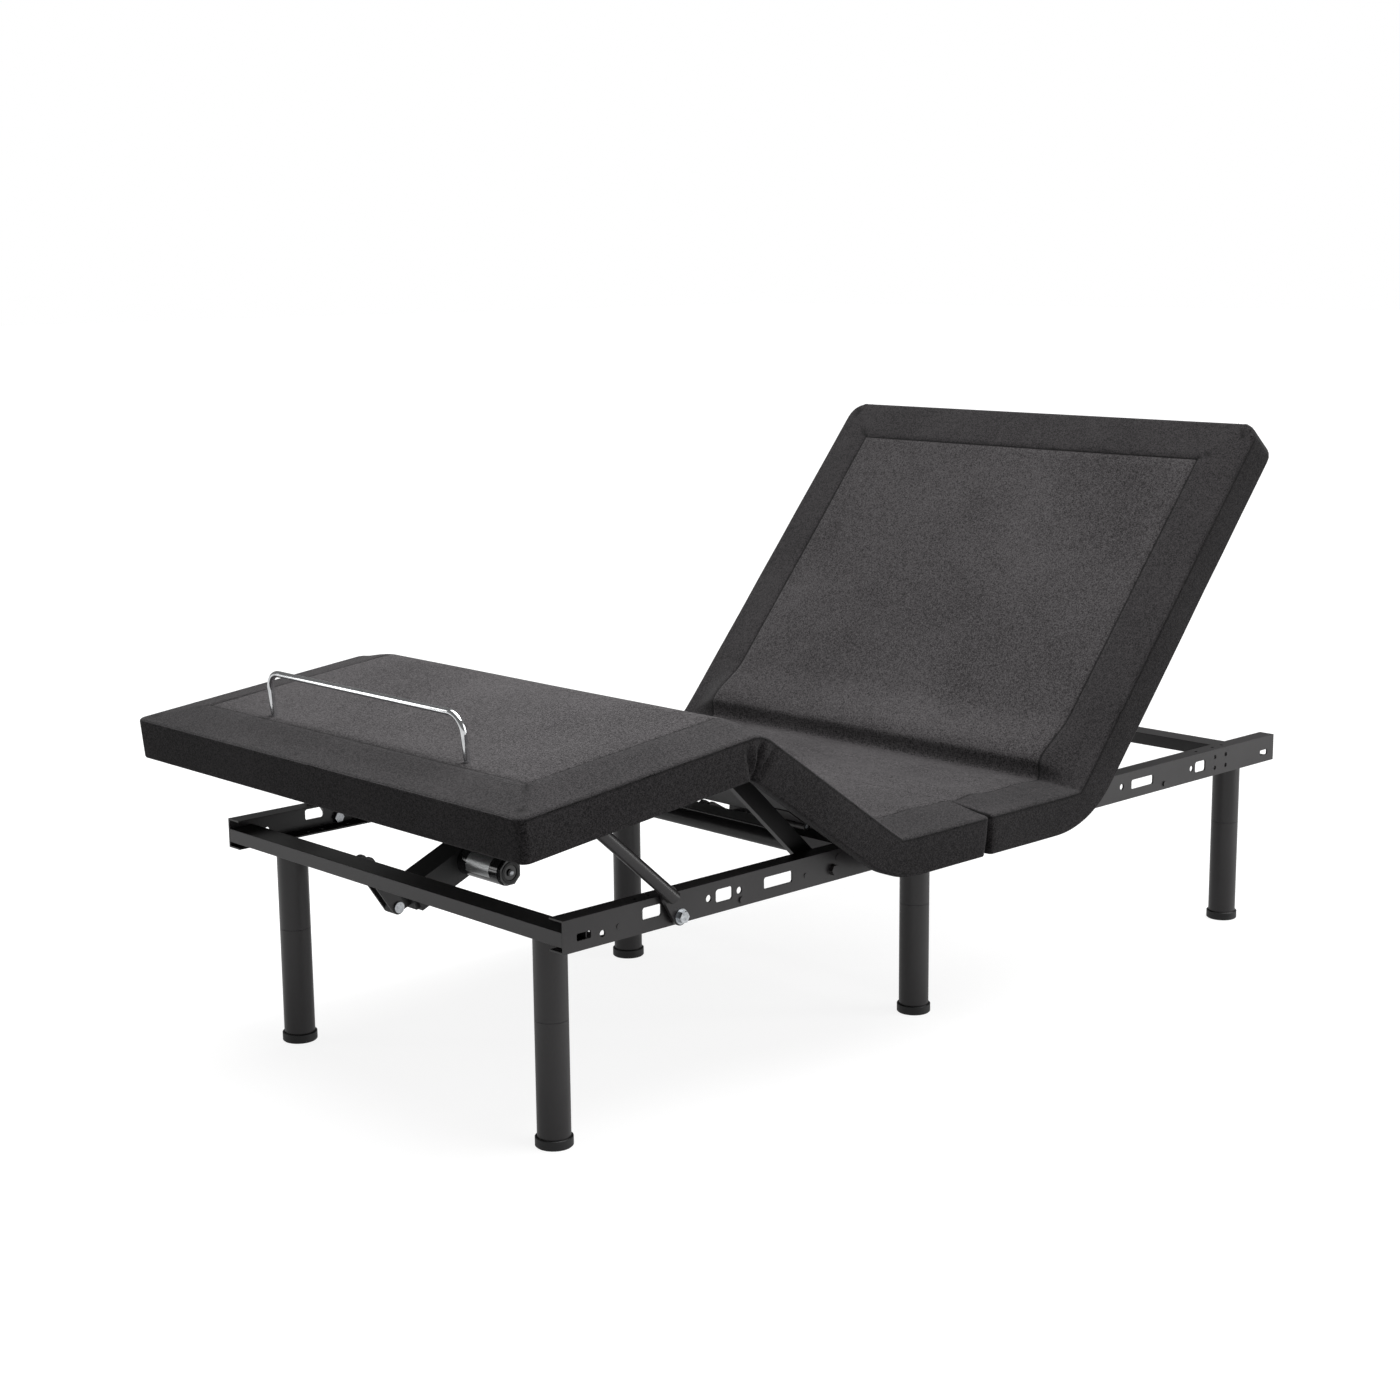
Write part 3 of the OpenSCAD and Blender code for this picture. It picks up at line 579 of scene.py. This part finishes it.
def folded_line(d, h, fold):
    """Where a point goes that lies d past a fold's pin, on a level line at height h, when the side
    with negative d is turned. On the inside of the fold the cloth is crushed into a crease. On the
    outside it is stretched round an arc that touches both lines."""
    angle = fold["turn"]
    half_turn = math.tan(abs(angle) / 2)
    miss = abs(h) * half_turn
    if h * angle > 0:
        x = abs(d)
        if x < fold["inner"]:
            x = miss + (fold["inner"] - miss) * x / fold["inner"]
        return Vector((x, h)) if d >= 0 else turned(-x, h, 0, angle)
    start = fold["outer"] - miss
    if abs(d) >= start:
        return Vector((d, h)) if d > 0 else turned(d, h, 0, angle)
    theta = abs(angle) * (start - d) / (2 * start)
    radius = math.copysign(fold["outer"] / half_turn, angle)
    return Vector((start - abs(radius) * math.sin(theta), h + radius * (1 - math.cos(theta))))


def folded(d, h, fold):
    """A point between the top of the cover and its hem, on the straight line that joins them."""
    depth = (top - h) / (top - low)
    return folded_line(d, top, fold).lerp(folded_line(d, low, fold), depth)


def bend(s, y, h):
    """The raised place of a flat point."""
    if s < s_mid_thigh:
        place = folded(s - s_knee, h, FOLDS["knee"])
        place = turned(s_knee + place.x, place.y, s_thigh, thigh_turn)
    elif s < s_slit[0] + 1 * MM:
        place = folded(s - s_thigh, h, FOLDS["thigh"]) + Vector((s_thigh, 0))
    else:
        place = folded(s_back - s, h, FOLDS["back"])
        place.x = s_back - place.x
    return Vector((place.x, y, place.y + thigh_pin.z))


print("flat deck:", round(s_head - s_foot, 3), "m long,", round(2 * half, 3), "m wide")

# %% [markdown]
# A cover blank is a shallow upturned tray. It starts as a cube, gets rounded corners where the
# cover ends, and is cut by planes into strips that are close together at folds and seams. The
# rim of its underside is then drawn down to make the skirts.

# %% Cutting helpers
def steps(start, end, step):
    """Even places from start to end, about a step apart."""
    count = max(1, round((end - start) / step))
    return [start + (end - start) * k / count for k in range(count + 1)]


def cut(shape, axis, places, keep=lambda face: True):
    """Cuts the faces that keep allows with planes across one axis."""
    normal = Vector([float(k == axis) for k in range(3)])
    for place in places:
        faces = [f for f in shape.faces if keep(f)
                 and min(v.co[axis] for v in f.verts) < place < max(v.co[axis] for v in f.verts)]
        parts = {part for f in faces for part in (f, *f.edges, *f.verts)}
        bmesh.ops.bisect_plane(shape, geom=list(parts), dist=TINY, plane_co=normal * place,
                               plane_no=normal)


# %% Cover blank
BORDER = 87 * MM
SEAM = 3 * MM
EDGE_ROW = 12 * MM


def flat_blank(start, end, closed, corners, along_cuts):
    """A tray from start to end along s. corners gives the radius at each end that has corners,
    and closed names the ends that have a border and a skirt."""
    shape = bmesh.new()
    bmesh.ops.create_cube(shape, size=1)
    bmesh.ops.transform(shape, verts=shape.verts,
                        matrix=Matrix.Translation(((start + end) / 2, 0, (top + board_top) / 2))
                        @ Matrix.Diagonal((end - start, 2 * half, top - board_top, 1)))
    ends = {"foot": start, "head": end}
    for name, radius in corners.items():
        upright = [e for e in shape.edges if abs(e.verts[0].co.z - e.verts[1].co.z) > 1e-4
                   and abs(e.verts[0].co.x - ends[name]) < TINY]
        bmesh.ops.bevel(shape, geom=upright, offset=radius, segments=6, profile=0.5,
                        affect="EDGES", material=-1)
    seam_y = half - BORDER
    across = steps(-seam_y + EDGE_ROW, seam_y - EDGE_ROW, 2 * EDGE_ROW)
    for side in (-1, 1):
        across += [side * (seam_y + d) for d in (-SEAM, 0, SEAM)]
        across += [side * y for y in steps(seam_y + 14 * MM, inner - 8 * MM, 14 * MM)]
        across += [side * inner, side * (half - EDGE_ROW)]
    cut(shape, 1, sorted(across))
    rim = half - inner
    along = list(along_cuts)
    for name in closed:
        sign = 1 if name == "foot" else -1
        along += [ends[name] + sign * d for d in (rim, BORDER - SEAM, BORDER, BORDER + SEAM)]
    cut(shape, 0, sorted(set(round(a, 6) for a in along)))

    def on_rim(face):
        c = face.calc_center_median()
        near = [abs(c.x - ends[name]) < rim for name in closed]
        return c.z < board_top + 1e-5 and (abs(c.y) > inner or any(near))

    underside = [f for f in shape.faces if on_rim(f)]
    drawn = bmesh.ops.extrude_face_region(shape, geom=underside)
    moved = [v for v in drawn["geom"] if isinstance(v, bmesh.types.BMVert)]
    bmesh.ops.translate(shape, verts=moved, vec=(0, 0, low - board_top))
    bmesh.ops.delete(shape, geom=underside, context="FACES_ONLY")
    bmesh.ops.remove_doubles(shape, verts=shape.verts, dist=TINY)
    shape.normal_update()
    ledge = [e for e in shape.edges if all(abs(v.co.z - board_top) < TINY for v in e.verts)
             and len(e.link_faces) == 2 and all(abs(f.normal.z) < 0.1 for f in e.link_faces)]
    bmesh.ops.dissolve_edges(shape, edges=ledge, use_verts=True)
    cut(shape, 2, steps(low + 4 * MM, top - 13 * MM, EDGE_ROW),
        keep=lambda f: abs(f.normal.z) < 0.5)
    bmesh.ops.remove_doubles(shape, verts=shape.verts, dist=TINY)
    bmesh.ops.recalc_face_normals(shape, faces=shape.faces)
    return shape


# %% [markdown]
# Upholstery is never quite flat. The border slopes down from its seam to the edge, each seam
# pulls a fine groove, the foam rounds the top and bottom edges, and cloth bunches where the deck
# folds. These are small moves of the flat blank's points, each one a formula for one effect.

# %% Seams and grooves
def bell(distance, width):
    """A bump of height 1 that fades over a width."""
    return math.exp(-(distance / width) ** 2)


def seam_pull(s, y, closed, start, end):
    """How strongly a seam line runs at a point of the top, from 0 to 1."""
    from_side = half - abs(y)
    pull = 0.0
    limits = {"foot": s - start, "head": end - s}
    inside = all(limits[name] > BORDER - SEAM for name in closed)
    if inside and abs(from_side - BORDER) < SEAM * 1.5:
        pull = bell(from_side - BORDER, SEAM * 0.6)
    for name in closed:
        from_end = limits[name]
        if from_side > BORDER - SEAM:
            pull = max(pull, bell(from_end - BORDER, SEAM * 0.6))
        if from_end < BORDER + 1e-4 and from_side < BORDER + 1e-4:
            pull = max(pull, 0.8 * bell(from_end - from_side, SEAM * 0.8))
    return pull


# %% [markdown]
# The covers are not tight everywhere. At the foot of the back the cloth rolls over the crease, and
# slack cloth ripples across the fixed seat. The rows below say how high each ripple is, where it
# lies, how much it slants and how wide it is.

# %% Crown, roll and ripples
ROLL_HEIGHT = 23 * MM
ROLL_RISE = (1 * MM, 28 * MM)
ROLL_FALL = (36 * MM, 105 * MM)
RIPPLES = (
    (4.0 * MM, s_slit[1] + 78 * MM, 0.07, 24 * MM),
    (2.5 * MM, s_slit[1] + 150 * MM, -0.05, 30 * MM),
    (2.5 * MM, s_thigh + 95 * MM, -0.05, 30 * MM),
)


def puffed(s, y, cover):
    """How far the top of a cover stands over or under the flat height at a point."""
    from_side = half - abs(y)
    from_ends = [abs(s - cover["span"][name == "head"]) for name in cover["closed"]]
    from_edge = min([from_side] + from_ends)
    plateau = min(from_edge / BORDER, 1.0)
    rise = cover["crown"] * ease(plateau * 1.15 - 0.08) - cover["fall"] * (1 - plateau)
    if plateau == 1.0:
        rise += 1.3 * MM * noise.noise(Vector((s * 5, y * 2.2, 3.1)))
    past = s - s_back
    up = ease((past - ROLL_RISE[0]) / ROLL_RISE[1])
    down = ease((past - ROLL_FALL[0]) / ROLL_FALL[1])
    rise += ROLL_HEIGHT * up * (1 - down) * ease((from_side - 24 * MM) / (80 * MM))
    across = min(1.0, max(0.0, (from_side - 30 * MM) / (60 * MM)))
    for height, place, slant, width in RIPPLES:
        rise += height * across * bell(s - place - slant * y, width)
    return rise


# %% Sewing the blank
SEAM_GROOVE = 2.2 * MM
BELLY = 1.8 * MM
KNEE_GATHERS = ((0, 4.5, 15), (-30, 5, 8), (30, 5, 9), (-14, 6, -3), (14, 6, -3))
SLIT_LEAN, SLIT_REACH = 9 * MM, 40 * MM


def sewn(point, cover):
    """Moves one flat point of a cover as foam, thread and folded cloth do."""
    s, y, h = point
    side = 1 if y > 0 else -1
    depth = min(max((top - h) / (top - low), 0.0), 1.0)
    share = min(max((h - (board_top - 8 * MM)) / (top - board_top + 8 * MM), 0.0), 1.0)
    outside = h > board_top + 1e-4 or abs(y) > inner + 6 * MM
    pull = 0.0
    if h > top - 1e-4:
        pull = seam_pull(s, y, cover["closed"], *cover["span"])
        h -= SEAM_GROOVE * pull
    elif abs(y) > half - 4 * MM:
        # the skirt's foam bellies out a little, unevenly
        uneven = 0.8 * MM * noise.noise(Vector((s * 9, side * 4.0, h * 14)))
        y += side * (BELLY * math.sin(math.pi * depth) + uneven)
        # the knee gathers it into three pinched folds that close in on each other at the hem, with
        # a swelling on each side of the middle one. A row is a shift, a width and a pinch in mm.
        grip = ease((depth - 0.12) / 0.5)
        for shift, width, pinch in KNEE_GATHERS:
            line = s_knee + shift * (1.2 - depth) * MM
            y -= side * pinch * MM * grip * bell(s - line, width * MM)
    if outside:
        h += share * puffed(s, y, cover)
    # beside the slit the seat's end leans away, so that the slit is a narrow V seen from the side
    if abs(s_slit[0] - s) < SLIT_REACH and s < s_slit[0] + TINY:
        s -= SLIT_LEAN * depth * ease(1 - (s_slit[0] - s) / SLIT_REACH)
    return Vector((s, y, h)), pull


# %% [markdown]
# A blank becomes a cover in a fixed order. Its long edges are rounded while it is still flat, then
# each face gets its cloth and its place on the UV map, and last the points are sewn and bent. The
# flat shape is where a UV map is simplest, because there the cloth is not stretched.

# %% Finishing a cover
TOP_RADIUS = 7 * MM
HEM_RADIUS = 3 * MM
LIP = 3 * MM
EDGE_SHADE, LIP_SHADE = 0.8, 0.96


def rounded(shape, edges, radius, segments):
    """Bevels edges round."""
    bmesh.ops.bevel(shape, geom=edges, offset=radius, segments=segments, profile=0.5,
                    affect="EDGES", material=-1)


def lay_flat_map(shape, cover, open_ends):
    """Gives each face its cloth, and its place on a map in metres of flat fabric."""
    uv = shape.loops.layers.uv.new("flat_cloth")
    for face in shape.faces:
        c, n = face.calc_center_median(), face.normal
        from_ends = [abs(c.x - cover["span"][name == "head"]) for name in cover["closed"]]
        from_edge = min([half - abs(c.y)] + from_ends)
        face.material_index = 0 if n.z > 0.7 and from_edge > BORDER else 1
        # the cut ends keep their own normals, so that the cloth shades evenly over the shared line
        if any(abs(c.x - x) < 1e-5 for x in open_ends):
            for edge in face.edges:
                edge.smooth = False
        face.smooth = True
        for loop in face.loops:
            s, y, h = loop.vert.co
            if abs(n.y) > 0.7:
                y += (1 if y > 0 else -1) * (top - h)
            elif abs(n.x) > 0.7:
                s += (1 if c.x > sum(cover["span"]) / 2 else -1) * (top - h)
            loop[uv].uv = (s, y)


def sew_and_bend(shape, cover):
    """Moves every flat point to its sewn and raised place, and marks where shade is painted:
    the seam grooves, a line under the top edge of each side and the lip at the slit.
    """
    painted_shade = shape.verts.layers.float.new("painted_shade")
    for vert in shape.verts:
        flat = vert.co.copy()
        moved, pull = sewn(flat, cover)
        # painted shade: the seam grooves, a dark line along each side under the rounded top edge, and the slit's
        # lip
        on_side = abs(flat.y) > half - 1 * MM
        shade = EDGE_SHADE * bell(top - TOP_RADIUS - flat.z, 1.5 * MM) if on_side else 0.0
        # the hemmed lip at the slit is in shadow, and shows as a fine dark line across the seat
        from_slit = min(abs(flat.x - s) for s in s_slit)
        if flat.z > top - 8 * MM and from_slit < LIP:
            shade = LIP_SHADE
        vert[painted_shade] = min(1.0, pull + shade)
        vert.co = bend(*moved)


def finish_cover(shape, cover):
    """Rounds the edges, sews, bends and returns the cover as an object with its flat UV map."""
    start, end = cover["span"]
    open_ends = [x for x, name in ((start, "foot"), (end, "head")) if name not in cover["corners"]]

    def is_edge(edge, height):
        if any(abs(v.co.z - height) > 1e-5 for v in edge.verts) or len(edge.link_faces) != 2:
            return False
        if any(all(abs(v.co.x - x) < 1e-5 for v in edge.verts) for x in open_ends):
            return False
        return edge.link_faces[0].normal.angle(edge.link_faces[1].normal) > math.radians(60)

    shape.normal_update()
    rounded(shape, [e for e in shape.edges if is_edge(e, top)], TOP_RADIUS, 4)
    rounded(shape, [e for e in shape.edges if is_edge(e, low)], HEM_RADIUS, 2)
    bmesh.ops.recalc_face_normals(shape, faces=shape.faces)
    lay_flat_map(shape, cover, open_ends)
    sew_and_bend(shape, cover)
    mesh = bpy.data.meshes.new(cover["name"])
    shape.to_mesh(mesh)
    shape.free()
    mesh.materials.append(centre_cloth)
    mesh.materials.append(border_cloth)
    piece = bpy.data.objects.new(cover["name"], mesh)
    bpy.context.scene.collection.objects.link(piece)
    print(cover["name"], "has", len(mesh.polygons), "faces")
    return piece


# %% [markdown]
# The front cover runs from the foot, over the knee, down the thigh and onto the seat as far as
# the slit. A piece can follow only one joint, so it is cut in the middle of the thigh, where the
# cloth is plain and nothing bends, and the two halves share that line. The back cover runs from
# the slit to the head. Strips are 3 to 5 mm wide at folds and 9 to 26 mm on the flats.

# %% Strips
def fold_steps(pin, spread, step):
    """Even places on both sides of a pin."""
    return steps(pin - spread, pin + spread, step)


calf_strips = steps(s_foot + 26 * MM, s_foot + 74 * MM, 12 * MM)
calf_strips += steps(s_foot + 104 * MM, s_knee - 70 * MM, 22 * MM)
calf_strips += fold_steps(s_knee, 60 * MM, 3.3 * MM)
calf_strips += steps(s_knee + 70 * MM, s_mid_thigh - 14 * MM, 20 * MM)
seat_strips = steps(s_mid_thigh + 14 * MM, s_thigh - 60 * MM, 20 * MM)
seat_strips += fold_steps(s_thigh, 56 * MM, 5 * MM)
seat_strips += steps(s_thigh + 66 * MM, s_slit[0] - 8 * MM, 9 * MM)
back_strips = steps(s_slit[1] + 8 * MM, s_back - 70 * MM, 9 * MM)
back_strips += fold_steps(s_back, 66 * MM, 4 * MM)
back_strips += steps(s_back + 73 * MM, s_back + 150 * MM, 9 * MM)
back_strips += steps(s_back + 170 * MM, s_head - 104 * MM, 26 * MM)
back_strips += steps(s_head - 74 * MM, s_head - 40 * MM, 11 * MM)
print("strips:", len(calf_strips), len(seat_strips), len(back_strips))

# %% The three covers
covers = {
    "calf": {"name": "front_cover_calf", "span": (s_foot, s_mid_thigh), "closed": ["foot"],
             "corners": {"foot": 14 * MM}, "crown": 7 * MM, "fall": 5 * MM,
             "strips": calf_strips},
    "seat": {"name": "front_cover_seat", "span": (s_mid_thigh, s_slit[0]), "closed": [],
             "corners": {"head": 9 * MM}, "crown": 7 * MM, "fall": 5 * MM,
             "strips": seat_strips},
    "back": {"name": "back_cover", "span": (s_slit[1], s_head), "closed": ["head"],
             "corners": {"foot": 9 * MM, "head": 34 * MM}, "crown": 3 * MM, "fall": 4 * MM,
             "strips": back_strips},
}
for cover in covers.values():
    blank = flat_blank(*cover["span"], cover["closed"], cover["corners"], cover["strips"])
    cover["piece"] = finish_cover(blank, cover)

# %% [markdown]
# Each cover replaces the plain padding. It is thin foam stretched tight.

# %% Covers in place of the padding
for cover, a, b, fold, padding in (
    ("calf", "calf", "thigh", FOLDS["knee"], ["calf_padding"]),
    ("seat", "thigh", "frame", FOLDS["thigh"], ["thigh_padding", "front_seat_padding"]),
    ("back", "frame", "back", FOLDS["back"], ["rear_seat_padding", "back_padding"]),
):
    piece = covers[cover]["piece"]
    spread = (fold["inner"] + fold["outer"]) / 2
    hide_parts(*padding)
    bend(fold["pin"] - spread, 0, 0)
    bend(fold["pin"] + spread, 0, 0)
    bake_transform(piece)
    print(piece.name, "turns over", round(2 * spread, 3), "m at its joint")
